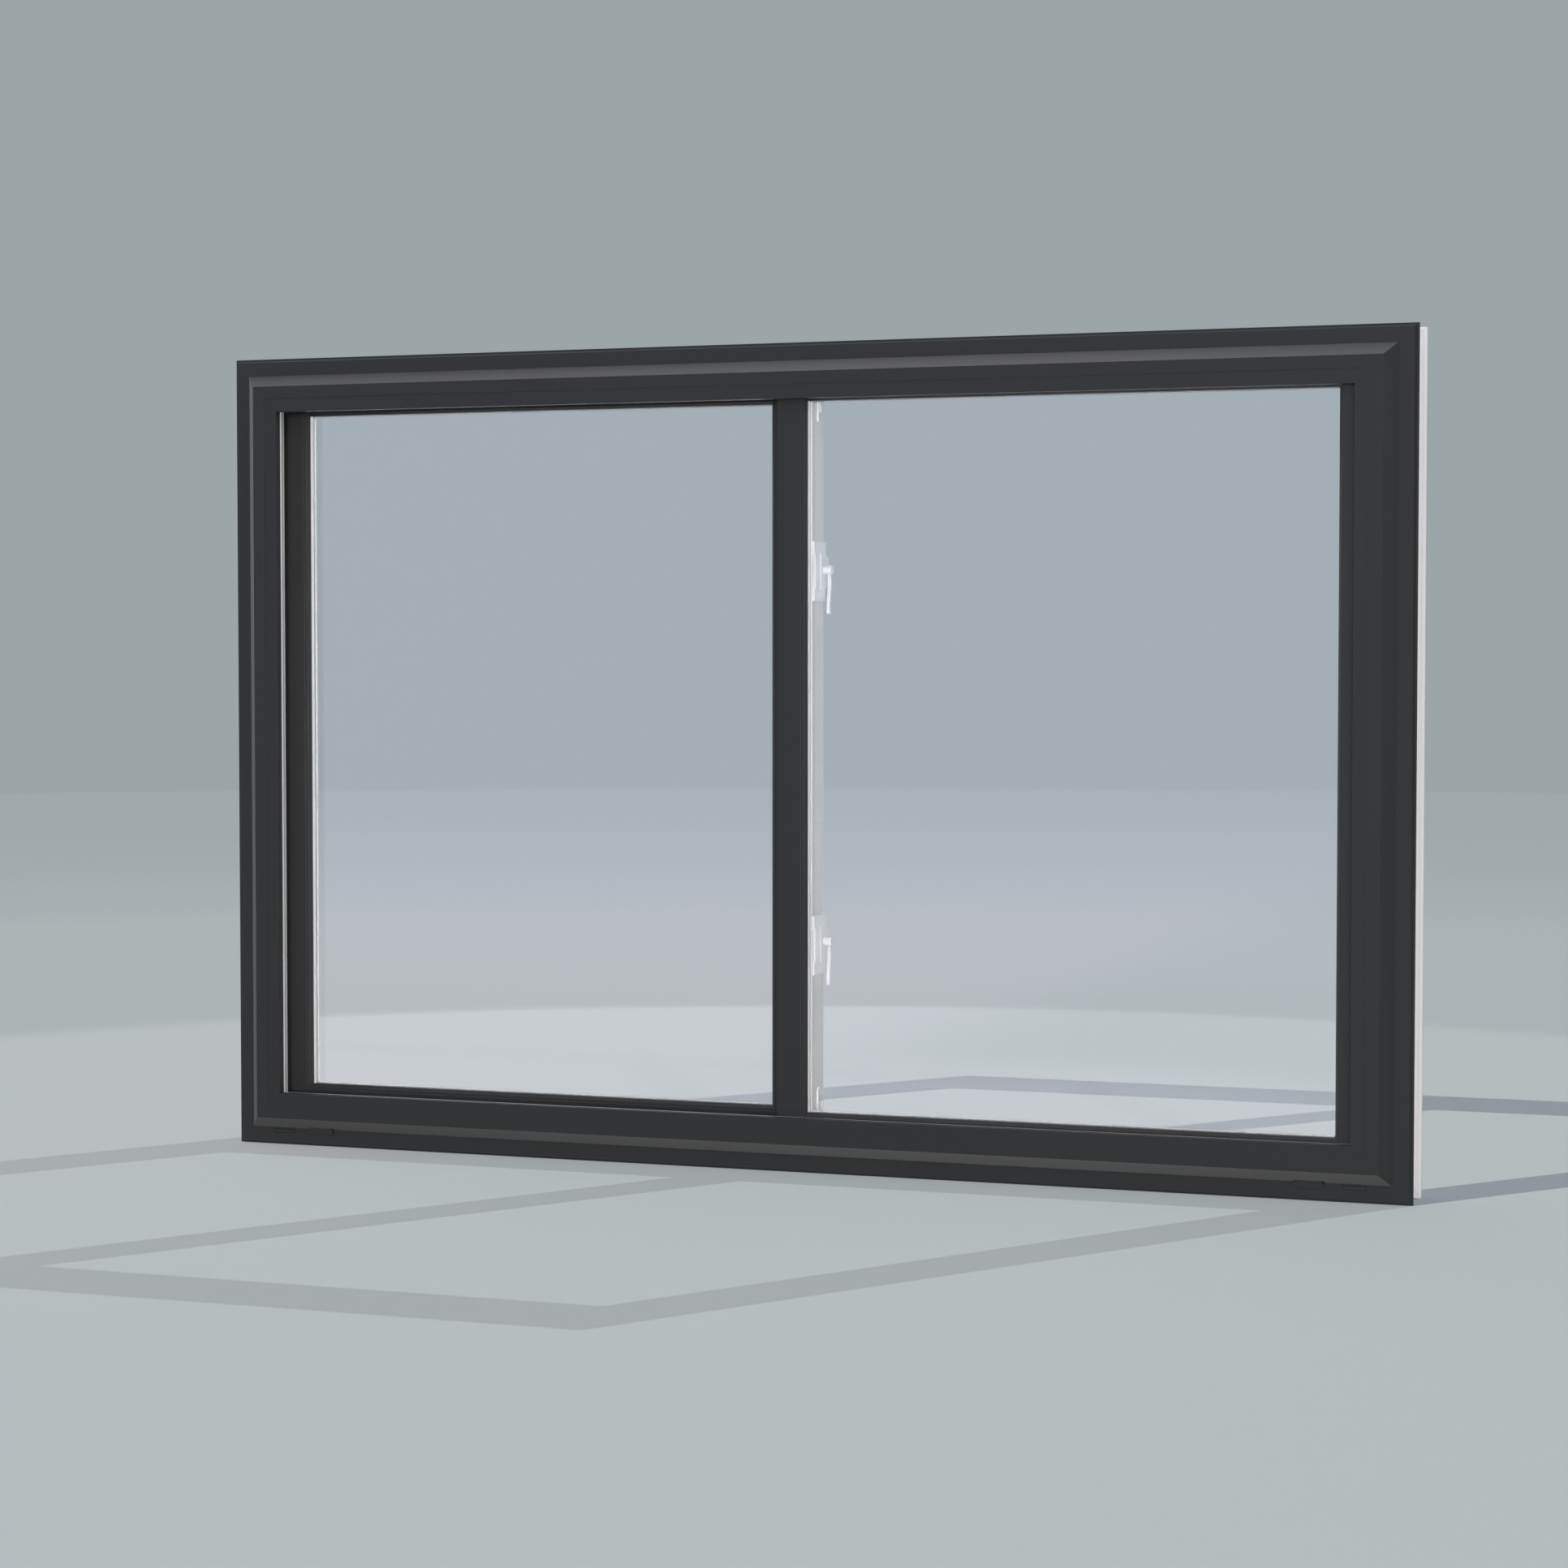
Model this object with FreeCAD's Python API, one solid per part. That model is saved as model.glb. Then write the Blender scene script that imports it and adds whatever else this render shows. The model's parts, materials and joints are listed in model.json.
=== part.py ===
import FreeCAD, Part
import os

# Overall size
frame_width = 1800.0
frame_height = 1200.0

# Brickmould section, insets from the outer edge and depths from the flange face
rim_width = 2.8
rim_setback = 8.0
rim_slope = 2.4
flange_width = 20.8
bevel_width = 17.5
bevel_rise = 22.5
raised_width = 18.5
brickmould_back = 12.5
edge_round = 1.0

# Exterior stop and main frame section
stop_width = 20.0
stop_setback = 1.0
stop_depth = 14.0
wall_recess = 0.4
front_wall = 5.5
frame_wall = 8.0
side_groove = 14.0
frame_back = 82.0
rear_flange_thickness = 5.0
rear_border_width = 4.7
rear_border_rise = 1.2
channel_inset = 48.0
track_fin_height = 20.0
track_fin_thickness = 3.0
track_rib_height = 8.0
track_rib_thickness = 3.0
rear_lip_height = 14.0
rear_lip_thickness = 4.0

# Clearances of the sliding sash
running_gap = 1.0
end_gap = 2.0
floor_gap = 2.0
lift_gap = 4.0
lift_room = 6.0
rib_room = 1.0

# Sash sections, seen widths past the stop and at the meeting stiles
fixed_jamb_reveal = 24.0
fixed_head_reveal = 2.5
fixed_sill_reveal = 6.0
fixed_meeting_sight = 26.0
fixed_meeting_width = 44.0
slider_jamb_reveal = 26.4
slider_head_reveal = 3.7
slider_sill_reveal = 9.0
slider_meeting_sight = 39.8
slider_meeting_edge = 24.3
slider_edge_round = 2.0
slider_cover_edge = 8.0
slider_cover_depth = 8.0
fixed_cover_depth = 9.5
cover_step_inset = 8.4
cover_border_inset = 31.0
cover_step_depth = 0.5
cover_chamfer = 3.8
pull_rail_width = 24.0
pull_rail_depth = 8.0
pull_rail_gap = 2.0

# Glazing and the white leg behind it
pane_thickness = 4.0
pane_gap = 10.0
glass_bite = 10.0
pocket_bite = 12.0
spacer_width = 8.0
fixed_leg_depth = 4.0
slider_leg_depth = 5.5
leg_chamfer = 3.0
leg_inset = 2.0
room_slope = 8.0

# Interlock of the two meeting stiles
hook_offset = 16.0
hook_thickness = 1.0
hook_toe = 5.0
hook_clear = 0.6

# Locks
lock_spread = 544.0
lock_length = 86.0
lock_wrap = 1.5
lug_length = 19.5
lug_reach = 7.0
lug_overhang = 4.2
lug_thickness = 2.5
latch_length = 52.0
latch_thickness = 3.0
latch_setback = 5.3
latch_depth = 30.5
latch_slit = 4.0
latch_strip = 6.0
base_width = 20.0
base_thickness = 3.0
housing_width = 16.0
housing_rise = 18.5
housing_half = 27.0
housing_nose_half = 21.0
housing_round = 5.0
lever_hub_radius = 6.8
lever_hub_length = 12.4
lever_hub_setback = 5.2
lever_arm_width = 5.0
lever_arm_depth = 5.0
lever_arm_inset = 3.0
lever_length = 64.2
lever_bow = 3.6
lever_raise = 2.2

# End guides and weep parts
guide_height = 29.0
guide_fin = 1.6
guide_plate = 0.8
guide_stand = 2.2
guide_block = 15.0
guide_heel = 11.0
guide_curl = 8.0
guide_setback = 21.0
hood_length = 42.0
hood_taper = 4.0
hood_rise = 2.8
hood_drop = 7.0
hood_stand = 3.4
hood_offset = 142.0
flap_length = 34.0
flap_height = 6.2
flap_offset = 79.0
flap_drop = 1.6
flap_pocket = 2.0
flap_gap = 0.6
flap_stand = 0.6

# Derived positions
left = -frame_width / 2
right = frame_width / 2
bottom = 0.0
top = frame_height
flange_edge = rim_width + rim_slope
bevel_start = flange_edge + flange_width
bevel_end = bevel_start + bevel_width
seam = bevel_end + raised_width
stop_inner = seam + stop_width
wall_inner = stop_inner - wall_recess
stop_front = stop_setback - bevel_rise
stop_back = stop_front + stop_depth
outer_track = stop_back + front_wall
snap_inset = channel_inset - frame_wall
fixed_front = outer_track
glass_stack = 2 * pane_thickness + pane_gap
fixed_glass = fixed_front + fixed_cover_depth
fixed_back = fixed_glass + glass_stack + fixed_leg_depth
inner_track = fixed_back + track_fin_thickness
slider_front = inner_track + running_gap
slider_glass = slider_front + slider_cover_depth
slider_leg = slider_glass + glass_stack
rear_lip = frame_back - rear_lip_thickness
rear_flange = frame_back - rear_flange_thickness
rear_border = rear_flange - rear_border_rise
slider_back = rear_lip - running_gap
stile_back = slider_back + pull_rail_depth
rib_front = (slider_front + slider_back - track_rib_thickness) / 2
rib_back = rib_front + track_rib_thickness
fin_inset = channel_inset + track_fin_height
rib_inset = channel_inset + track_rib_height
rear_inset = channel_inset + rear_lip_height
lip_middle = (rim_setback + brickmould_back) / 2

V = FreeCAD.Vector


def rounded_wire(corners, place):
    """Closed outline of lines and corner arcs from (u, v, radius) corners; place puts u, v in space."""
    count = len(corners)
    joints = []
    for i in range(count):
        u, v, radius = corners[i]
        here = V(u, v, 0)
        back = (V(corners[i - 1][0], corners[i - 1][1], 0) - here).normalize()
        ahead = (V(corners[(i + 1) % count][0], corners[(i + 1) % count][1], 0) - here).normalize()
        cosine = back.dot(ahead)
        setback = radius * ((1 + cosine) / (1 - cosine)) ** 0.5
        middle = here + (back + ahead).normalize() * (radius * ((2 / (1 - cosine)) ** 0.5 - 1))
        joints.append((place(here + back * setback), place(middle), place(here + ahead * setback)))
    edges = []
    for i in range(count):
        start, middle, end = joints[i]
        if corners[i][2] > 0:
            edges.append(Part.Arc(start, middle, end).toShape())
        edges.append(Part.LineSegment(end, joints[(i + 1) % count][0]).toShape())
    return Part.Wire(edges)


def section_run(corners, place, run):
    """Solid made by running a section outline along a vector."""
    return Part.Face(rounded_wire(corners, place)).extrude(run)


def prism_y(points, front, back):
    """Solid from (x, z) outline points, run along Y."""
    corners = [V(x, front, z) for x, z in points]
    return Part.Face(Part.makePolygon(corners + corners[:1])).extrude(V(0, back - front, 0))


def block(x0, x1, y0, y1, z0, z1):
    return Part.makeBox(x1 - x0, y1 - y0, z1 - z0, V(x0, y0, z0))


def single(shape):
    """The one solid inside a boolean result."""
    return shape.removeSplitter().Solids[0]


def mitred_frame(section):
    """Four mitred members of one section, given as (inset, depth, radius) corners."""
    reach = max(corner[0] for corner in section) + 1
    front = min(corner[1] for corner in section) - 1
    back = max(corner[1] for corner in section) + 1
    across = V(frame_width, 0, 0)
    upward = V(0, 0, frame_height)
    bar_sill = section_run(section, lambda p: V(left, p.y, bottom + p.x), across)
    bar_head = section_run(section, lambda p: V(left, p.y, top - p.x), across)
    bar_left = section_run(section, lambda p: V(left + p.x, p.y, bottom), upward)
    bar_right = section_run(section, lambda p: V(right - p.x, p.y, bottom), upward)
    near_left = left + reach
    near_right = right - reach
    low = bottom + reach
    high = top - reach
    cut_sill = prism_y([(left, bottom), (right, bottom), (near_right, low), (near_left, low)], front, back)
    cut_head = prism_y([(left, top), (right, top), (near_right, high), (near_left, high)], front, back)
    cut_left = prism_y([(left, bottom), (near_left, low), (near_left, high), (left, top)], front, back)
    cut_right = prism_y([(right, bottom), (near_right, low), (near_right, high), (right, top)], front, back)
    return {
        "head": single(bar_head.common(cut_head)),
        "sill": single(bar_sill.common(cut_sill)),
        "left_jamb": single(bar_left.common(cut_left)),
        "right_jamb": single(bar_right.common(cut_right)),
    }


def grown(rect, amount):
    x0, x1, z0, z1 = rect
    return (x0 - amount, x1 + amount, z0 - amount, z1 + amount)


def rect_block(rect, front, back):
    return block(rect[0], rect[1], front, back, rect[2], rect[3])


def rect_wire(rect, depth):
    x0, x1, z0, z1 = rect
    corners = [V(x0, depth, z0), V(x1, depth, z0), V(x1, depth, z1), V(x0, depth, z1)]
    return Part.makePolygon(corners + corners[:1])


def taper(front_rect, front, back_rect, back):
    """Ruled loft between two upright rectangles."""
    return Part.makeLoft([rect_wire(front_rect, front), rect_wire(back_rect, back)], True, True)


def cover_ring(outer, opening, front, back):
    """Dark face ring with a raised band, and a chamfer round its sight edge."""
    shallow = front + cover_step_depth
    deep = shallow + cover_chamfer
    step = grown(opening, cover_step_inset)
    band = rect_block(grown(opening, cover_border_inset), front, shallow)
    border = rect_block(outer, front, shallow).cut(band)
    ring = rect_block(outer, front, back).cut(border)
    ring = ring.cut(taper(step, front, grown(step, -cover_step_depth), shallow))
    ring = ring.cut(taper(grown(opening, cover_chamfer), shallow, opening, deep))
    return single(ring.cut(rect_block(opening, deep, back)))


def glass_pocket(body, opening, front, leg_back, back):
    """Cuts the glass pocket and a sight edge that opens toward the room behind its leg."""
    sight = grown(opening, leg_inset)
    body = body.cut(rect_block(grown(opening, pocket_bite), front, front + glass_stack))
    body = body.cut(rect_block(sight, front, leg_back))
    widening = min(room_slope, back - leg_back)
    return body.cut(taper(sight, leg_back, grown(sight, widening), back))


def split_ring(ring, outer, opening, front, back):
    """Four members of a ring, mitred from the sight corners outward."""
    x0, x1, z0, z1 = outer
    ox0, ox1, oz0, oz1 = opening
    up = z1 - oz1
    down = oz0 - z0
    top_piece = [(ox0, oz1), (ox1, oz1), (ox1 + up, z1), (ox0 - up, z1)]
    low_piece = [(ox0, oz0), (ox1, oz0), (ox1 + down, z0), (ox0 - down, z0)]
    left_piece = [(x0, z0), (ox0 - down, z0), (ox0, oz0), (ox0, oz1), (ox0 - up, z1), (x0, z1)]
    right_piece = [(x1, z0), (ox1 + down, z0), (ox1, oz0), (ox1, oz1), (ox1 + up, z1), (x1, z1)]
    pieces = (top_piece, low_piece, left_piece, right_piece)
    return [single(ring.common(prism_y(points, front, back))) for points in pieces]


def glazing(opening, front):
    """Two panes with a spacer ring between them."""
    sheet = grown(opening, glass_bite)
    hole = grown(opening, glass_bite - spacer_width)
    first = front + pane_thickness
    second = first + pane_gap
    return {
        "outer_pane": rect_block(sheet, front, first),
        "inner_pane": rect_block(sheet, second, second + pane_thickness),
        "spacer": single(rect_block(sheet, first, second).cut(rect_block(hole, first, second))),
    }


nodes = {}

# Brickmould, stop and main frame
brickmould = [
    (0, brickmould_back, 0), (0, rim_setback, 0), (rim_width, rim_setback, 0), (flange_edge, 0, 0),
    (bevel_start, 0, 0), (bevel_end, -bevel_rise, edge_round), (seam, -bevel_rise, edge_round),
    (seam, stop_back, 0), (snap_inset, stop_back, 0), (snap_inset, brickmould_back, 0),
]
stop = [
    (seam, stop_front, 0), (stop_inner, stop_front, edge_round),
    (stop_inner, stop_back, 0), (seam, stop_back, 0),
]
main_frame = [
    (snap_inset, stop_back, 0), (wall_inner, stop_back, 0), (wall_inner, outer_track, 0),
    (channel_inset, outer_track, 0), (channel_inset, fixed_back, 0), (fin_inset, fixed_back, edge_round),
    (fin_inset, inner_track, edge_round), (channel_inset, inner_track, 0), (channel_inset, rib_front, 0),
    (rib_inset, rib_front, edge_round), (rib_inset, rib_back, edge_round), (channel_inset, rib_back, 0),
    (channel_inset, rear_lip, 0), (rear_inset, rear_lip, edge_round), (rear_inset, frame_back, edge_round),
    (0, frame_back, 0), (0, rear_border, 0), (rear_border_width, rear_border, 0),
    (rear_border_width, rear_flange, 0), (side_groove, rear_flange, 0), (side_groove, brickmould_back, 0),
    (snap_inset, brickmould_back, 0),
]
for name, section in (("brickmould", brickmould), ("exterior_stop", stop), ("main_frame", main_frame)):
    for side, solid in mitred_frame(section).items():
        nodes[name + "_" + side] = solid

# Fixed lite on the right
fixed_opening = (
    fixed_meeting_sight, right - stop_inner - fixed_jamb_reveal,
    bottom + stop_inner + fixed_sill_reveal, top - stop_inner - fixed_head_reveal,
)
fixed_outer = (
    fixed_meeting_sight - fixed_meeting_width, right - channel_inset - end_gap,
    bottom + channel_inset, top - channel_inset - end_gap,
)
hook_left = fixed_meeting_sight - hook_offset
hook_back = slider_front - hook_clear
fixed_body = rect_block(fixed_outer, fixed_glass, fixed_back)
fixed_body = glass_pocket(fixed_body, fixed_opening, fixed_glass, fixed_back - leg_chamfer, fixed_back)
hook_low = fixed_opening[2]
hook_high = fixed_opening[3]
fixed_body = fixed_body.fuse([
    block(hook_left, hook_left + hook_thickness, fixed_back, hook_back, hook_low, hook_high),
    block(hook_left, hook_left + hook_toe, hook_back - hook_thickness, hook_back, hook_low, hook_high),
])
fixed_sides = ("top_rail", "bottom_rail", "meeting_stile", "jamb_stile")
fixed_cover = cover_ring(fixed_outer, fixed_opening, fixed_front, fixed_glass)
members = split_ring(fixed_body, fixed_outer, fixed_opening, fixed_glass, slider_front)
covers = split_ring(fixed_cover, fixed_outer, fixed_opening, fixed_front, fixed_glass)
for side, member, cover in zip(fixed_sides, members, covers):
    nodes["fixed_lite_" + side] = member
    nodes["fixed_lite_" + side + "_cover"] = cover
for label, solid in glazing(fixed_opening, fixed_glass).items():
    nodes["fixed_lite_" + label] = solid

# Sliding sash on the left, seated on the track rib
slider_opening = (
    left + stop_inner + slider_jamb_reveal, -slider_meeting_sight,
    bottom + stop_inner + slider_sill_reveal, top - stop_inner - slider_head_reveal,
)
slider_outer = (
    left + channel_inset + end_gap, slider_meeting_edge,
    bottom + channel_inset + floor_gap, top - channel_inset - lift_gap,
)
x0, x1, z0, z1 = slider_outer
slider_cover_outer = (x0, slider_cover_edge, z0, z1)
sash_plan = [
    (x0, slider_front, 0), (x1, slider_front, slider_edge_round), (x1, slider_back, slider_edge_round),
    (x0, slider_back, 0),
]
slider_body = section_run(sash_plan, lambda p: V(p.x, p.y, z0), V(0, 0, z1 - z0))
slider_body = slider_body.cut(rect_block(slider_cover_outer, slider_front, slider_glass))
slider_leg_back = slider_leg + slider_leg_depth
slider_body = glass_pocket(slider_body, slider_opening, slider_glass, slider_leg_back, slider_back)
groove_front = rib_front - rib_room
groove_back = rib_back + rib_room
seat_depth = track_rib_height - floor_gap
top_depth = track_rib_height - lift_gap + lift_room
side_depth = track_rib_height - end_gap + rib_room
slider_body = slider_body.cut(block(x0, x1, groove_front, groove_back, z0, z0 + seat_depth))
slider_body = slider_body.cut(block(x0, x1, groove_front, groove_back, z1 - top_depth, z1))
slider_body = slider_body.cut(block(x0, x0 + side_depth, groove_front, groove_back, z0, z1))
rail_plan = [
    (x1 - pull_rail_width, slider_leg, 0), (x1, slider_leg, 0), (x1, stile_back, slider_edge_round),
    (x1 - pull_rail_width, stile_back, slider_edge_round),
]
rail_low = bottom + rear_inset + pull_rail_gap
rail_high = top - rear_inset - pull_rail_gap
pull_rail = section_run(rail_plan, lambda p: V(p.x, p.y, rail_low), V(0, 0, rail_high - rail_low))
slider_body = slider_body.fuse(pull_rail)
hook_right = hook_left + hook_toe + hook_clear + hook_thickness
hook_front = fixed_back + hook_clear
slider_body = slider_body.fuse([
    block(hook_right - hook_thickness, hook_right, hook_front, slider_front, hook_low, hook_high),
    block(hook_right - hook_toe, hook_right, hook_front, hook_front + hook_thickness, hook_low, hook_high),
])
slider_sides = ("top_rail", "bottom_rail", "pull_stile", "meeting_stile")
slider_cover = cover_ring(slider_cover_outer, slider_opening, slider_front, slider_glass)
members = split_ring(slider_body, slider_outer, slider_opening, fixed_back, stile_back)
covers = split_ring(slider_cover, slider_cover_outer, slider_opening, slider_front, slider_glass)
for side, member, cover in zip(slider_sides, members, covers):
    nodes["sliding_sash_" + side] = member
    nodes["sliding_sash_" + side + "_cover"] = cover
for label, solid in glazing(slider_opening, slider_glass).items():
    nodes["sliding_sash_" + label] = solid

# Locks that wrap the free edge of the sliding meeting stile
stile_side = slider_meeting_edge
wrap_face = stile_side + lock_wrap
latch_face = stile_side + latch_thickness
base_back = stile_back + base_thickness
base_left = stile_side - base_width
lug_front = slider_front - lug_thickness
plate_front = slider_front + slider_edge_round
for name, sign in (("upper", 1), ("lower", -1)):
    centre = top / 2 + sign * lock_spread / 2
    low = centre - lock_length / 2
    high = centre + lock_length / 2
    body = block(stile_side, wrap_face, lug_front, base_back, low, high)
    body = body.cut(block(stile_side, wrap_face, lug_front, plate_front, low + lug_length, high - lug_length))
    for start in (low, high - lug_length):
        body = body.fuse(block(stile_side - lug_reach, stile_side + lug_overhang,
                               lug_front, slider_front, start, start + lug_length))
    latch_front = slider_front + latch_setback
    latch = block(stile_side, latch_face, latch_front, latch_front + latch_depth,
                  centre - latch_length / 2, centre + latch_length / 2)
    slit_back = latch_front + latch_depth - latch_strip
    latch = latch.cut(block(wrap_face, latch_face, slit_back - latch_slit, slit_back, low, high))
    base = block(base_left, wrap_face, stile_back, base_back, low, high)
    housing_back = base_back + housing_rise
    profile = [
        (base_back, centre - housing_half, 0), (base_back, centre + housing_half, 0),
        (housing_back, centre + housing_nose_half, housing_round),
        (housing_back, centre - housing_nose_half, housing_round),
    ]
    housing = section_run(profile, lambda p: V(stile_side - housing_width, p.x, p.y), V(housing_width, 0, 0))
    nodes[name + "_lock_body"] = single(body.fuse([latch, base, housing]))

    hub_y = base_back - lever_hub_setback
    hub_z = centre + lever_raise
    arm_left = wrap_face + lever_hub_length - lever_arm_inset - lever_arm_width
    bowed = hub_y + lever_bow
    tip_z = hub_z - lever_length
    half_depth = lever_arm_depth / 2
    bend = [(hub_y, hub_z), (bowed, hub_z - 0.5 * lever_length), (hub_y, hub_z - 0.78 * lever_length),
            (hub_y, tip_z + half_depth)]
    front_edge = Part.BSplineCurve()
    front_edge.interpolate([V(arm_left, y - half_depth, z) for y, z in bend])
    back_edge = Part.BSplineCurve()
    back_edge.interpolate([V(arm_left, y + half_depth, z) for y, z in bend])
    tip = Part.Arc(front_edge.EndPoint, V(arm_left, hub_y, tip_z), back_edge.EndPoint)
    across = Part.LineSegment(back_edge.StartPoint, front_edge.StartPoint)
    outline = Part.Wire(Part.sortEdges([c.toShape() for c in (front_edge, tip, back_edge, across)])[0])
    arm = Part.Face(outline).extrude(V(lever_arm_width, 0, 0))
    hub = Part.makeCylinder(lever_hub_radius, lever_hub_length, V(wrap_face, hub_y, hub_z), V(1, 0, 0))
    nodes[name + "_lock_lever"] = single(arm.fuse(hub))

# End guides on the free edge of the meeting stile
fin_front = slider_front + guide_setback
fin_back = fin_front + guide_fin
plate_back = slider_back - slider_edge_round
guide_ends = (
    ("top", top - stop_inner, -1, guide_heel, 0.0),
    ("bottom", bottom + stop_inner, 1, guide_fin, guide_curl),
)
for name, level, way, heel, curl in guide_ends:
    fin_end = level + way * guide_height
    plate_end = level + way * guide_block
    low = min(level, plate_end)
    high = max(level, plate_end)
    guide = block(stile_side, stile_side + guide_plate, fin_front, plate_back, low, high)
    guide = guide.fuse(block(stile_side, stile_side + guide_stand, plate_back - heel, plate_back, low, high))
    guide = guide.fuse(block(stile_side, stile_side + guide_stand, fin_front, fin_back,
                             min(level, fin_end), max(level, fin_end)))
    if curl > 0:
        pivot = V(stile_side, fin_front + curl, fin_end)
        whole = Part.makeCylinder(curl, guide_stand, pivot, V(1, 0, 0))
        inner = Part.makeCylinder(curl - guide_fin, guide_stand, pivot, V(1, 0, 0))
        quarter = block(stile_side, stile_side + guide_stand, fin_front, fin_front + curl,
                        min(fin_end, fin_end + way * curl), max(fin_end, fin_end + way * curl))
        guide = guide.fuse(whole.cut(inner).common(quarter))
    nodes["meeting_stile_guide_" + name] = single(guide)

# Weep hoods and weep flaps on the sill brickmould
sill = nodes["brickmould_sill"]
flap_top = bevel_start - flap_drop
for name, sign in (("left", -1), ("right", 1)):
    middle = sign * (right - hood_offset)
    half = hood_length / 2
    hood_low = bevel_start - hood_drop
    hood_high = bevel_start + hood_rise
    outline = [
        (middle - half, hood_low), (middle + half, hood_low), (middle + half, bevel_start),
        (middle + half - hood_taper, hood_high), (middle - half + hood_taper, hood_high),
        (middle - half, bevel_start),
    ]
    nodes["weep_hood_" + name] = single(prism_y(outline, -hood_stand, 0).cut(sill))
    middle = sign * (right - flap_offset)
    pocket = (middle - flap_length / 2, middle + flap_length / 2, flap_top - flap_height, flap_top)
    sill = single(sill.cut(rect_block(pocket, 0, flap_pocket)))
    nodes["weep_flap_" + name] = rect_block(grown(pocket, -flap_gap), -flap_stand, flap_pocket)
nodes["brickmould_sill"] = sill

# The origin lies on the underside of the sill, at the middle of the brickmould's outer lip
os.makedirs("parts", exist_ok=True)
for name, solid in nodes.items():
    solid.translate(V(0, -lip_middle, 0))
    solid.exportStep("parts/" + name + ".step")
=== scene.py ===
import json
import math

import bpy
import numpy as np
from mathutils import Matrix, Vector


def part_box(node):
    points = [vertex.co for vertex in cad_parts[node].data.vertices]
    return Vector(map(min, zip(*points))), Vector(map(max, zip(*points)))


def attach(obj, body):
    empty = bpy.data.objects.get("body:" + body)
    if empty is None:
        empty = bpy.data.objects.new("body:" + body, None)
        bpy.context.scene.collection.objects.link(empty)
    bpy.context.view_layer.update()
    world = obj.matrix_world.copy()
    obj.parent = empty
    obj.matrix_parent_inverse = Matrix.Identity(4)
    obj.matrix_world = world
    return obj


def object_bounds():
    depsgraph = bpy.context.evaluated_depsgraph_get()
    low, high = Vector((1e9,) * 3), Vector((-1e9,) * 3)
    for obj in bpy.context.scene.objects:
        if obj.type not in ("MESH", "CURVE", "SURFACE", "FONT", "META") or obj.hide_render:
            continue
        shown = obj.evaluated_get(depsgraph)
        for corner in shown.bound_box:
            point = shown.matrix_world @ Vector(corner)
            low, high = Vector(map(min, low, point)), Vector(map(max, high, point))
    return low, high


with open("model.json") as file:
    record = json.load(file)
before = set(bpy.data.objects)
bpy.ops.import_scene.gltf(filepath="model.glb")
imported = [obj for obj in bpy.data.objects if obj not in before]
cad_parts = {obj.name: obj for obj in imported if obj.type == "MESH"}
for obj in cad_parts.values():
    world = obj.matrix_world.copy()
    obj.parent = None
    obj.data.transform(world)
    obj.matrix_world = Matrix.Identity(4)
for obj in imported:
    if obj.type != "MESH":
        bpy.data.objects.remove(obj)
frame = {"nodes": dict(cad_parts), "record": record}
nodes = frame["nodes"]
cad_low, cad_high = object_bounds()
scene = bpy.context.scene


def new_material(name):
    """Node material whose one principled shader feeds its output."""
    material = bpy.data.materials.new(name)
    material.use_nodes = True
    tree = material.node_tree
    tree.nodes.clear()
    output = tree.nodes.new("ShaderNodeOutputMaterial")
    shader = tree.nodes.new("ShaderNodeBsdfPrincipled")
    tree.links.new(shader.outputs["BSDF"], output.inputs["Surface"])
    return material, shader


def add_math(tree, operation, first, second=0.0):
    """Math node fed by sockets or plain numbers."""
    node = tree.nodes.new("ShaderNodeMath")
    node.operation = operation
    for socket, value in zip(node.inputs, (first, second)):
        if isinstance(value, (int, float)):
            socket.default_value = value
        else:
            tree.links.new(value, socket)
    return node.outputs["Value"]


def add_range(tree, value, span, start=0.0, end=1.0, ramp="SMOOTHSTEP"):
    """Ramp from start to end, smooth or straight, as a value passes through a span."""
    node = tree.nodes.new("ShaderNodeMapRange")
    node.interpolation_type = ramp
    for label, number in zip(("From Min", "From Max", "To Min", "To Max"), (*span, start, end)):
        node.inputs[label].default_value = number
    tree.links.new(value, node.inputs["Value"])
    return node.outputs["Result"]


def add_mix(tree, factor, first, second):
    """Colour mix of two plain colours or sockets."""
    node = tree.nodes.new("ShaderNodeMix")
    node.data_type = "RGBA"
    tree.links.new(factor, node.inputs["Factor"])
    for label, value in (("A", first), ("B", second)):
        if isinstance(value, tuple):
            node.inputs[label].default_value = (*value, 1.0)
        else:
            tree.links.new(value, node.inputs[label])
    return node.outputs["Result"]


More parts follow.
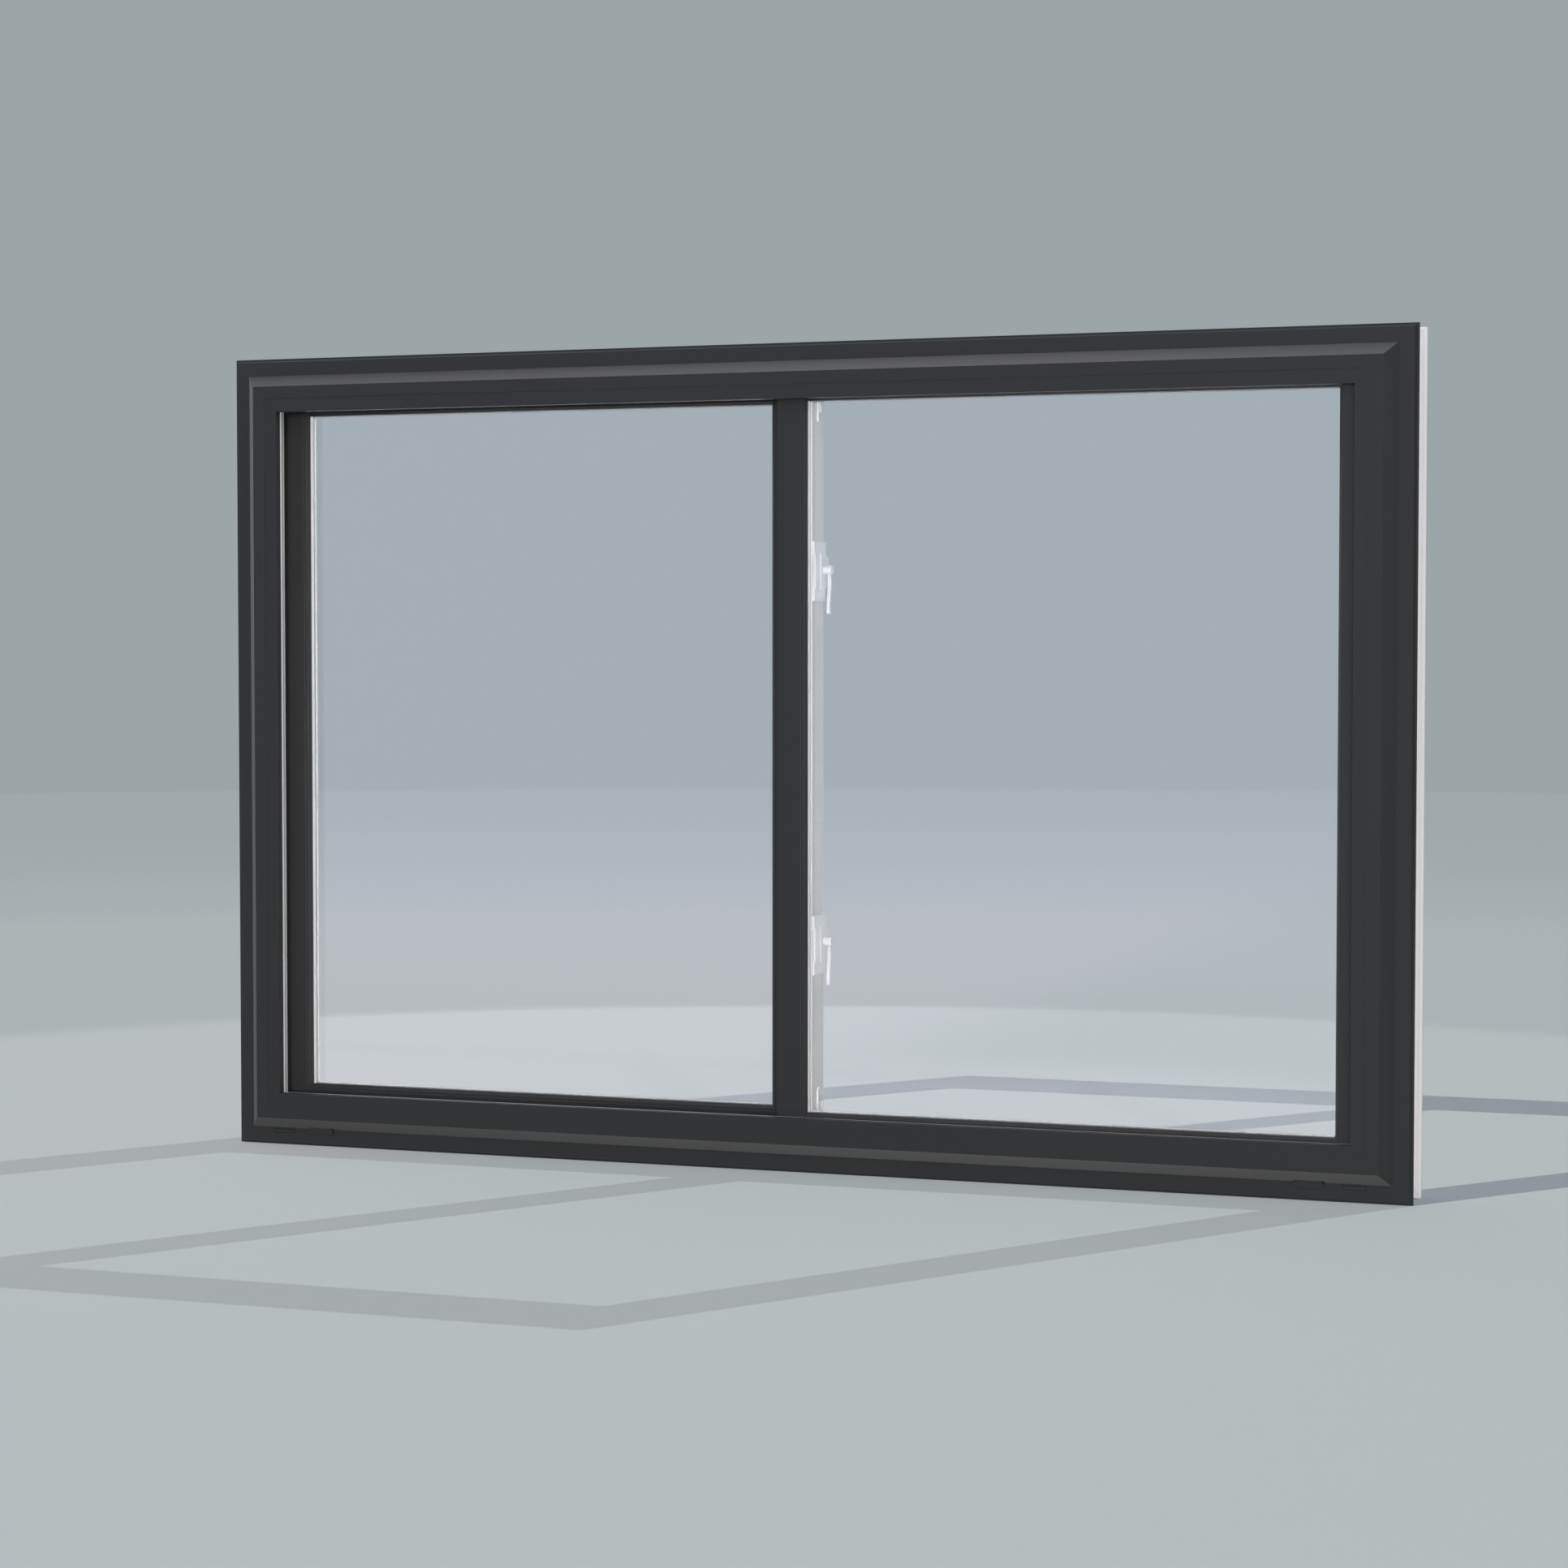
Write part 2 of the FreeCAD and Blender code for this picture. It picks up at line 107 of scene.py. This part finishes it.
def grain_group():
    """Shared surface grain: a slow cloud, a fine grain, draw lines along the run, and their bump normal."""
    soft_detail = 3.0
    fine_detail = 2.0
    line_scale = 420.0
    bump_depth = 0.0002
    group = bpy.data.node_groups.new("surface_grain", "ShaderNodeTree")
    face = group.interface
    for label, kind in (("Cloud Scale", "Float"), ("Fine Scale", "Float"), ("Bump", "Float"),
                        ("Stretch", "Vector")):
        face.new_socket(label, in_out="INPUT", socket_type="NodeSocket" + kind)
    for label, kind in (("Cloud", "Float"), ("Fine", "Float"), ("Lines", "Float"), ("Normal", "Vector")):
        face.new_socket(label, in_out="OUTPUT", socket_type="NodeSocket" + kind)
    entry = group.nodes.new("NodeGroupInput")
    leave = group.nodes.new("NodeGroupOutput")
    place = group.nodes.new("ShaderNodeTexCoord")
    cloud = group.nodes.new("ShaderNodeTexNoise")
    cloud.inputs["Detail"].default_value = soft_detail
    fine = group.nodes.new("ShaderNodeTexNoise")
    fine.inputs["Detail"].default_value = fine_detail
    stretched = group.nodes.new("ShaderNodeVectorMath")
    stretched.operation = "MULTIPLY"
    lines = group.nodes.new("ShaderNodeTexNoise")
    lines.inputs["Scale"].default_value = line_scale
    lines.inputs["Detail"].default_value = soft_detail
    bump = group.nodes.new("ShaderNodeBump")
    bump.inputs["Distance"].default_value = bump_depth
    link = group.links.new
    link(place.outputs["Object"], cloud.inputs["Vector"])
    link(place.outputs["Object"], fine.inputs["Vector"])
    link(place.outputs["Object"], stretched.inputs[0])
    link(entry.outputs["Stretch"], stretched.inputs[1])
    link(stretched.outputs["Vector"], lines.inputs["Vector"])
    link(entry.outputs["Cloud Scale"], cloud.inputs["Scale"])
    link(entry.outputs["Fine Scale"], fine.inputs["Scale"])
    link(entry.outputs["Bump"], bump.inputs["Strength"])
    link(add_math(group, "ADD", fine.outputs["Fac"], lines.outputs["Fac"]), bump.inputs["Height"])
    link(cloud.outputs["Fac"], leave.inputs["Cloud"])
    link(fine.outputs["Fac"], leave.inputs["Fine"])
    link(lines.outputs["Fac"], leave.inputs["Lines"])
    link(bump.outputs["Normal"], leave.inputs["Normal"])
    return group


def seam_group():
    """Hairline where two mitred members meet: the inset from the side equals the inset from head or sill."""
    seam_span = (0.0002, 0.0007)
    group = bpy.data.node_groups.new("mitre_seam", "ShaderNodeTree")
    group.interface.new_socket("Seam", in_out="OUTPUT", socket_type="NodeSocketFloat")
    leave = group.nodes.new("NodeGroupOutput")
    place = group.nodes.new("ShaderNodeTexCoord")
    split = group.nodes.new("ShaderNodeSeparateXYZ")
    group.links.new(place.outputs["Object"], split.inputs["Vector"])
    side_inset = add_math(group, "SUBTRACT", cad_high.x, add_math(group, "ABSOLUTE", split.outputs["X"]))
    head_inset = add_math(group, "SUBTRACT", cad_high.z, split.outputs["Z"])
    edge_inset = add_math(group, "MINIMUM", split.outputs["Z"], head_inset)
    apart = add_math(group, "ABSOLUTE", add_math(group, "SUBTRACT", side_inset, edge_inset))
    group.links.new(add_range(group, apart, seam_span, 1.0, 0.0), leave.inputs["Seam"])
    return group


grain = grain_group()
seam = seam_group()
unstretched = (1.0, 1.0, 1.0)
along_x = (0.015, 1.0, 1.0)
along_z = (1.0, 1.0, 0.015)
fine_span = (0.2, 0.8)
seam_shade = 0.88


def grained_material(name, colours, roughness, cloud, fine, bump, specular,
                     stretch=unstretched, mitred=False):
    """Principled finish: colour from cloud and draw lines, roughness from fine grain, darker mitre seams."""
    low_colour, high_colour = colours
    material, shader = new_material(name)
    tree = material.node_tree
    effect = tree.nodes.new("ShaderNodeGroup")
    effect.node_tree = grain
    effect.inputs["Cloud Scale"].default_value = cloud
    effect.inputs["Fine Scale"].default_value = fine
    effect.inputs["Bump"].default_value = bump
    effect.inputs["Stretch"].default_value = stretch
    total = add_math(tree, "ADD", effect.outputs["Cloud"], effect.outputs["Lines"])
    average = add_math(tree, "MULTIPLY", total, 0.5)
    colour = add_mix(tree, average, low_colour, high_colour)
    if mitred:
        joint = tree.nodes.new("ShaderNodeGroup")
        joint.node_tree = seam
        seam_colour = tuple(seam_shade * part for part in low_colour)
        colour = add_mix(tree, joint.outputs["Seam"], colour, seam_colour)
    tree.links.new(colour, shader.inputs["Base Color"])
    rough = add_range(tree, effect.outputs["Fine"], fine_span, *roughness)
    tree.links.new(rough, shader.inputs["Roughness"])
    tree.links.new(effect.outputs["Normal"], shader.inputs["Normal"])
    shader.inputs["Specular IOR Level"].default_value = specular
    return material


def glass_material():
    """Clear, smooth glass with a faint cool tint."""
    material, shader = new_material("clear_glass")
    shader.inputs["Base Color"].default_value = (0.985, 0.99, 0.995, 1.0)
    shader.inputs["Roughness"].default_value = 0.0
    shader.inputs["IOR"].default_value = 1.5
    shader.inputs["Transmission Weight"].default_value = 1.0
    return material


def run_finishes(name, colours, roughness, bump, specular, mitred):
    """The same extruded finish twice: with draw lines across the width and up the height."""
    cloud = 2.0
    fine = 700.0
    runs = (("_rails", along_x), ("_stiles", along_z))
    return [grained_material(name + ending, colours, roughness, cloud, fine, bump, specular, stretch, mitred)
            for ending, stretch in runs]


# Finishes of the window: a darker and a lighter colour, the span of roughness, then grain and specular level
dark_satin = {"roughness": (0.38, 0.50), "bump": 0.06, "specular": 0.12}
white_satin = {"roughness": (0.30, 0.42), "bump": 0.05, "specular": 0.40}
dark_frame = run_finishes("dark_frame", ((0.0236, 0.0236, 0.0236), (0.0276, 0.0276, 0.0275)),
                          mitred=True, **dark_satin)
# Lighter copy of the dark finish for the recessed stile covers: painted light that offsets the shade in
# their recess
dark_painted_light = run_finishes("dark_painted_light", ((0.0288, 0.0288, 0.0288), (0.0330, 0.0330, 0.0329)),
                         mitred=False, **dark_satin)
white_frame = run_finishes("white_frame", ((0.67, 0.65, 0.635), (0.71, 0.69, 0.675)),
                           mitred=True, **white_satin)
# Darker copy of the white finish for the meeting stiles and glazing beads: painted shade
white_painted_shade = run_finishes("white_painted_shade", ((0.590, 0.563, 0.546), (0.624, 0.597, 0.580)),
                          mitred=False, **white_satin)
lock_finish = grained_material("lock_white", ((0.74, 0.72, 0.71), (0.78, 0.76, 0.75)),
                               (0.26, 0.36), cloud=10.0, fine=800.0, bump=0.05, specular=0.45)
spacer_finish = grained_material("glass_spacer", ((0.83, 0.82, 0.82), (0.88, 0.87, 0.87)),
                                 (0.30, 0.45), cloud=8.0, fine=1200.0, bump=0.1, specular=0.5)
lever_finish = grained_material("lock_lever", ((0.62, 0.61, 0.61), (0.66, 0.65, 0.65)),
                                (0.22, 0.30), cloud=12.0, fine=900.0, bump=0.05, specular=0.5)
# Lighter dark finish for the rounded arrises: a painted highlight along the covers' edges
edge_highlight_finish = grained_material("dark_painted_highlight", ((0.036, 0.036, 0.036), (0.044, 0.044, 0.044)),
                               (0.34, 0.46), cloud=6.0, fine=900.0, bump=0.05, specular=0.15)
glass_finish = glass_material()


def finish_of(name, slot):
    """The finish of a CAD node: by its slot, then by its part of the window and the way it runs."""
    if slot == "clear_glass":
        return glass_finish
    if slot == "glass_spacer":
        return spacer_finish
    if slot == "lock_lever":
        return lever_finish
    if "lock" in name or "guide" in name:
        return lock_finish
    runs_across = name.endswith(("head", "sill", "rail", "rail_cover")) or name.startswith("weep")
    run = 0 if runs_across else 1
    if slot == "dark_exterior":
        # Recessed stile covers take the lighter copy of the dark finish: painted light against the shade of
        # their recess
        recessed = name.endswith("stile_cover") and "meeting" not in name
        return (dark_painted_light if recessed else dark_frame)[run]
    # Meeting stiles take the darker copy of the white finish: painted shade
    return (white_painted_shade if "meeting_stile" in name else white_frame)[run]


# Finish of every CAD node, with panes that cast no shadow
for row in frame["record"]["subparts"]:
    node = nodes[row["node"]]
    node.data.materials.clear()
    node.data.materials.append(finish_of(row["node"], row["material_slot"]))
    node.visible_shadow = row["material_slot"] != "clear_glass"


def new_piece(name, points, faces, finish):
    """Mesh piece in the frame's coordinates, smooth shaded, riding on the window."""
    mesh = bpy.data.meshes.new(name)
    mesh.from_pydata(points.tolist(), [], faces)
    mesh.polygons.foreach_set("use_smooth", np.ones(len(faces), dtype=bool))
    mesh.materials.append(finish)
    piece = bpy.data.objects.new(name, mesh)
    scene.collection.objects.link(piece)
    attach(piece, "root")


def grid_faces(rows, columns):
    """Quads of a grid that closes on itself both ways."""
    row, column = np.meshgrid(np.arange(rows), np.arange(columns), indexing="ij")
    next_row = (row + 1) % rows
    next_column = (column + 1) % columns
    corners = (row * columns + column, next_row * columns + column,
               next_row * columns + next_column, row * columns + next_column)
    return np.stack(corners, axis=-1).reshape(-1, 4)


def pole_faces(rows, columns):
    """Faces of a grid of rings that closes round, with one point at each end."""
    column = np.arange(columns)
    next_column = (column + 1) % columns
    last = rows * columns + 1
    cap = np.stack([1 + next_column, 1 + column, np.zeros_like(column)], axis=-1)
    row = np.arange(rows - 1)[:, None] * columns + 1
    corners = (row + next_column, row + columns + next_column, row + columns + column, row + column)
    band = np.stack(corners, axis=-1).reshape(-1, 4)
    end = last - columns
    foot = np.stack([end + column, end + next_column, np.full_like(column, last)], axis=-1)
    return cap.tolist() + band.tolist() + foot.tolist()


def mitred_ring(name, sight, across, rise, face, finish):
    """Closed section carried round a rectangle: each point keeps its distance inside the four sides."""
    left, right, low, high = sight
    corner_x = np.array([left, right, right, left])
    corner_z = np.array([low, low, high, high])
    inward_x = np.array([1.0, -1.0, -1.0, 1.0])
    inward_z = np.array([1.0, 1.0, -1.0, -1.0])
    x = corner_x[:, None] + inward_x[:, None] * across[None, :]
    y = np.broadcast_to(face + rise[None, :], x.shape)
    z = corner_z[:, None] + inward_z[:, None] * across[None, :]
    points = np.stack([x, y, z], axis=-1).reshape(-1, 3)
    faces = grid_faces(len(corner_x), len(across))
    shoelace = across * np.roll(rise, -1) - rise * np.roll(across, -1)
    if shoelace.sum() < 0.0:
        faces = faces[:, ::-1]
    new_piece(name, points, faces.tolist(), finish)


def glazing_bead(name, sight, glass_face):
    """Room-side bead round the glass: a quarter ellipse closed by its two straight sides."""
    bead_width = 0.0027
    bead_rise = 0.0022
    tape = 0.0002
    arc_points = 7
    turn = np.linspace(0.0, math.pi / 2, arc_points)
    across = np.append(bead_width * np.sin(turn), 0.0)
    rise = np.append(bead_rise * np.cos(turn), 0.0)
    # The bead takes the darker copy of the white finish: painted shade
    mitred_ring(name, sight, across, rise, glass_face + tape, white_painted_shade[1])


def arris_line(name, sight, inset, face):
    """Rounded arris of a cover: a half circle towards the outside, on the given line round the glass, in a
    lighter finish that paints a highlight along it.
    """
    radius = 0.0005
    arc_points = 9
    turn = np.linspace(0.0, math.pi, arc_points)
    across = radius * np.cos(turn) - inset
    rise = -radius * np.sin(turn)
    mitred_ring(name, sight, across, rise, face, edge_highlight_finish)


def sash_sight(sash, left_stile, right_stile, ending):
    """Clear opening between the members of a sash or their covers, from their boxes."""
    return (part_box(sash + left_stile + ending)[1].x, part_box(sash + right_stile + ending)[0].x,
            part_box(sash + "bottom_rail" + ending)[1].z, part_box(sash + "top_rail" + ending)[0].z)


def screw_head(name, middle, face):
    """Pan head with a cross: the rise times the root of one less the fourth power of the share of the
    radius, less a cross of two soft bars that fades out before the rim."""
    head_radius = 0.0033
    head_rise = 0.0018
    cross_half = 0.00055
    cross_depth = 0.0009
    cross_reach = 0.72
    cross_fade = 0.12
    first_ring = 0.04
    rings = 26
    columns = 48
    share = np.linspace(first_ring, 1.0, rings)[:, None]
    turn = np.linspace(0.0, 2.0 * math.pi, columns, endpoint=False)[None, :]
    x = head_radius * share * np.cos(turn)
    z = head_radius * share * np.sin(turn)
    dome = head_rise * np.sqrt(1.0 - share ** 4)
    bars = np.maximum(np.exp(-(x / cross_half) ** 4), np.exp(-(z / cross_half) ** 4))
    fade = np.clip((cross_reach - share) / cross_fade, 0.0, 1.0)
    height = dome - cross_depth * bars * fade
    skin = np.stack([middle[0] + x, face + height, middle[1] + z], axis=-1).reshape(-1, 3)
    top = [[middle[0], face + head_rise - cross_depth, middle[1]]]
    foot = [[middle[0], face, middle[1]]]
    points = np.concatenate([top, skin, foot])
    new_piece(name, points, pole_faces(rings, columns), lever_finish)


# Beads and rounded arrises of the two sashes
step_inset = 0.0084
step_depth = 0.0005
chamfer_inset = 0.0038
for sash, left_stile, right_stile in (("fixed_lite_", "meeting_stile", "jamb_stile"),
                                      ("sliding_sash_", "pull_stile", "meeting_stile")):
    room_sight = sash_sight(sash, left_stile, right_stile, "")
    cover_sight = sash_sight(sash, left_stile, right_stile, "_cover")
    step_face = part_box(sash + "top_rail_cover")[0].y + step_depth
    glazing_bead(sash + "glazing_bead", room_sight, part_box(sash + "inner_pane")[1].y)
    arris_line(sash + "step_arris", cover_sight, step_inset, step_face)
    arris_line(sash + "chamfer_arris", cover_sight, chamfer_inset, step_face)

# Two screws in each lock
housing_rise = 0.0185
screw_x = 0.0150
screw_reach = 0.0350
for lock in ("upper_lock", "lower_lock"):
    lock_low, lock_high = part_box(lock + "_body")
    lock_middle = (lock_low.z + lock_high.z) / 2
    for end, shift in (("top", screw_reach), ("bottom", -screw_reach)):
        screw_head(lock + "_screw_" + end, (screw_x, lock_middle + shift), lock_high.y - housing_rise)

# Tones that the floor and the surroundings share
horizon_colour = (0.332, 0.376, 0.386)
front_colour = (0.69, 0.76, 0.97)


def add_emission(tree, colour):
    """Emission shader of a colour socket."""
    node = tree.nodes.new("ShaderNodeEmission")
    tree.links.new(colour, node.inputs["Color"])
    return node


def floor_material():
    """Floor lit near the window and plain further out, with painted ambient light that is brighter towards
    the left, and a painted reflection: a glow for rays that come through the glass.
    """
    # Emission colours of the lit floor: painted ambient light, brighter towards the left
    painted_light_right = (0.113, 0.127, 0.145)
    painted_light_left = (0.140, 0.143, 0.165)
    left_span = (-0.2, -1.2)
    back_colour = (0.350, 0.397, 0.408)
    back_edge = (13.5, 13.7)
    front_span = (-1.0, -4.0)
    lit_rings = (((2.2, 2.4), 0.50), ((4.5, 5.6), 0.22), ((5.6, 7.5), 0.20), ((7.5, 10.0), 0.08))
    # Glow for rays through the glass: a painted reflection, brighter near the window
    painted_reflection_pool = (0.122, 0.106, 0.127)
    pool_edge = (2.25, 2.31)
    painted_reflection_outer = (0.070, 0.048, 0.059)
    outer_span = (3.0, 14.0)
    no_glow = (0.0, 0.0, 0.0)
    right_dimming = 0.4
    right_span = (-0.6, 0.0)
    dimming_span = (1.0, 1.6)

    material, shader = new_material("floor")
    shader.inputs["Base Color"].default_value = (0.107, 0.112, 0.114, 1.0)
    shader.inputs["Emission Strength"].default_value = 1.0
    shader.inputs["Roughness"].default_value = 1.0
    shader.inputs["Specular IOR Level"].default_value = 0.0
    tree = material.node_tree
    place = tree.nodes.new("ShaderNodeTexCoord")
    split = tree.nodes.new("ShaderNodeSeparateXYZ")
    length = tree.nodes.new("ShaderNodeVectorMath")
    length.operation = "LENGTH"
    tree.links.new(place.outputs["Object"], split.inputs["Vector"])
    tree.links.new(place.outputs["Object"], length.inputs[0])
    distance = length.outputs["Value"]

    # Painted ambient light: emission that stands in for ambient light and weakens the shade near the window,
    # brighter towards the left
    left_share = add_range(tree, split.outputs["X"], left_span)
    tree.links.new(add_mix(tree, left_share, painted_light_right, painted_light_left), shader.inputs["Emission Color"])
    back_tone = add_mix(tree, add_range(tree, distance, back_edge), back_colour, horizon_colour)
    front_share = add_range(tree, split.outputs["Y"], front_span)
    plain = add_emission(tree, add_mix(tree, front_share, back_tone, front_colour))
    lit_share = 0.0
    for ring_span, part in lit_rings:
        lit_share = add_math(tree, "ADD", lit_share, add_range(tree, distance, ring_span, part, 0.0))
    ground = tree.nodes.new("ShaderNodeMixShader")
    tree.links.new(lit_share, ground.inputs["Fac"])
    tree.links.new(plain.outputs["Emission"], ground.inputs[1])
    tree.links.new(shader.outputs["BSDF"], ground.inputs[2])

    # Glow that only rays through the glass see: a painted reflection, a pool near the window and a fainter
    # one further out, dimmed to the right
    outer_share = add_range(tree, distance, outer_span, ramp="LINEAR")
    outer_tone = add_mix(tree, outer_share, painted_reflection_outer, no_glow)
    pool_share = add_range(tree, distance, pool_edge, ramp="LINEAR")
    glow = add_emission(tree, add_mix(tree, pool_share, painted_reflection_pool, outer_tone))
    right_share = add_range(tree, split.outputs["X"], right_span, 0.0, right_dimming)
    dimmed = add_math(tree, "MULTIPLY", right_share, add_range(tree, distance, dimming_span))
    ray = tree.nodes.new("ShaderNodeLightPath")
    through_glass = ray.outputs["Is Transmission Ray"]
    strength = add_math(tree, "MULTIPLY", through_glass, add_math(tree, "SUBTRACT", 1.0, dimmed))
    tree.links.new(strength, glow.inputs["Strength"])
    total = tree.nodes.new("ShaderNodeAddShader")
    tree.links.new(ground.outputs["Shader"], total.inputs[0])
    tree.links.new(glow.outputs["Emission"], total.inputs[1])
    tree.links.new(total.outputs["Shader"], tree.get_output_node("ALL").inputs["Surface"])
    return material


# Floor that casts no shadow and fades into the background
floor_reach = 40.0
floor_corners = [(-floor_reach, -floor_reach, 0.0), (floor_reach, -floor_reach, 0.0),
                 (floor_reach, floor_reach, 0.0), (-floor_reach, floor_reach, 0.0)]
floor_mesh = bpy.data.meshes.new("floor")
floor_mesh.from_pydata(floor_corners, [], [(0, 1, 2, 3)])
floor_mesh.materials.append(floor_material())
floor = bpy.data.objects.new("floor", floor_mesh)
scene.collection.objects.link(floor)
floor.visible_shadow = False

# Soft surroundings: plain behind the window, brighter on the camera's side, to its right and overhead
glows = (
    ((0.0, -1.0, 0.0), (-0.1, 0.7), front_colour),
    ((0.62, -0.78, 0.10), (0.74, 0.94), (1.75, 1.72, 1.68)),
    ((-0.33, 0.23, 0.91), (0.88, 0.97), (2.3, 2.3, 2.35)),
)
world = bpy.data.worlds.new("studio")
scene.world = world
world.use_nodes = True
sky = world.node_tree
sky.nodes.clear()
sky_output = sky.nodes.new("ShaderNodeOutputWorld")
background = sky.nodes.new("ShaderNodeBackground")
sky_place = sky.nodes.new("ShaderNodeTexCoord")
sky_colour = horizon_colour
for direction, glow_span, glow_colour in glows:
    along = sky.nodes.new("ShaderNodeVectorMath")
    along.operation = "DOT_PRODUCT"
    along.inputs[1].default_value = direction
    sky.links.new(sky_place.outputs["Generated"], along.inputs[0])
    sky_colour = add_mix(sky, add_range(sky, along.outputs["Value"], glow_span), sky_colour, glow_colour)
sky.links.new(sky_colour, background.inputs["Color"])
sky.links.new(background.outputs["Background"], sky_output.inputs["Surface"])


def light_group(name, members, state):
    """Collection that gives a light to its members alone, or to everything but its members."""
    group = bpy.data.collections.new(name)
    for member in members:
        group.objects.link(member)
    for entry in group.collection_objects:
        entry.light_linking.link_state = state
    return group


dark_nodes = [nodes[row["node"]] for row in frame["record"]["subparts"]
              if row["material_slot"] == "dark_exterior"]
floor_only = light_group("floor_only", [floor], "INCLUDE")
window_only = light_group("window_only", [floor], "EXCLUDE")
dark_only = light_group("dark_only", dark_nodes, "INCLUDE")


def add_sun(name, toward_light, strength, colour, softness, receivers):
    """Soft sun whose light comes from the given direction and falls on the given receivers."""
    data = bpy.data.lights.new(name, "SUN")
    data.energy = strength
    data.color = colour
    data.angle = math.radians(softness)
    sun = bpy.data.objects.new(name, data)
    x, y, z = toward_light
    flat = math.hypot(x, y)
    sun.rotation_euler = (math.atan2(flat, z), 0.0, math.atan2(x, -y))
    sun.light_linking.receiver_collection = receivers
    scene.collection.objects.link(sun)


# Two suns for the shadows on the floor, then fills with their direction, strength and receivers
sun_softness = 0.2
fill_softness = 8.0
plain_light = (1.0, 1.0, 1.0)
add_sun("front_sun", (-0.456, -0.595, 0.662), 8.0, (1.0, 0.99, 0.86), sun_softness, floor_only)
add_sun("back_sun", (0.404, 0.634, 0.659), 4.25, (0.85, 1.0, 1.0), sun_softness, floor_only)
fills = (
    ("camera_fill", (0.22, -0.97, 0.05), 1.15, window_only),
    ("room_fill", (-0.10, 0.99, -0.05), 1.5, window_only),
    ("left_fill", (-0.98, 0.02, 0.15), 3.9, dark_only),
    ("right_fill", (0.98, -0.10, 0.10), 0.25, dark_only),
    ("low_fill", (-0.20, 0.02, -0.98), 1.75, dark_only),
    ("top_fill", (-0.20, 0.02, 0.98), 1.65, dark_only),
)
for name, toward_light, strength, receivers in fills:
    add_sun(name, toward_light, strength, plain_light, fill_softness, receivers)

# Camera fitted to the photo
camera_dip = 2.2734
camera_turn = 19.6429
camera_data = bpy.data.cameras.new("camera")
camera_data.lens = 77.43
camera_data.sensor_width = 36.0
camera = bpy.data.objects.new("camera", camera_data)
camera.location = (1.62944, -4.59844, 0.75759)
camera.rotation_euler = (math.radians(90.0 - camera_dip), 0.0, math.radians(camera_turn))
scene.collection.objects.link(camera)
scene.camera = camera
scene.view_settings.view_transform = "Standard"
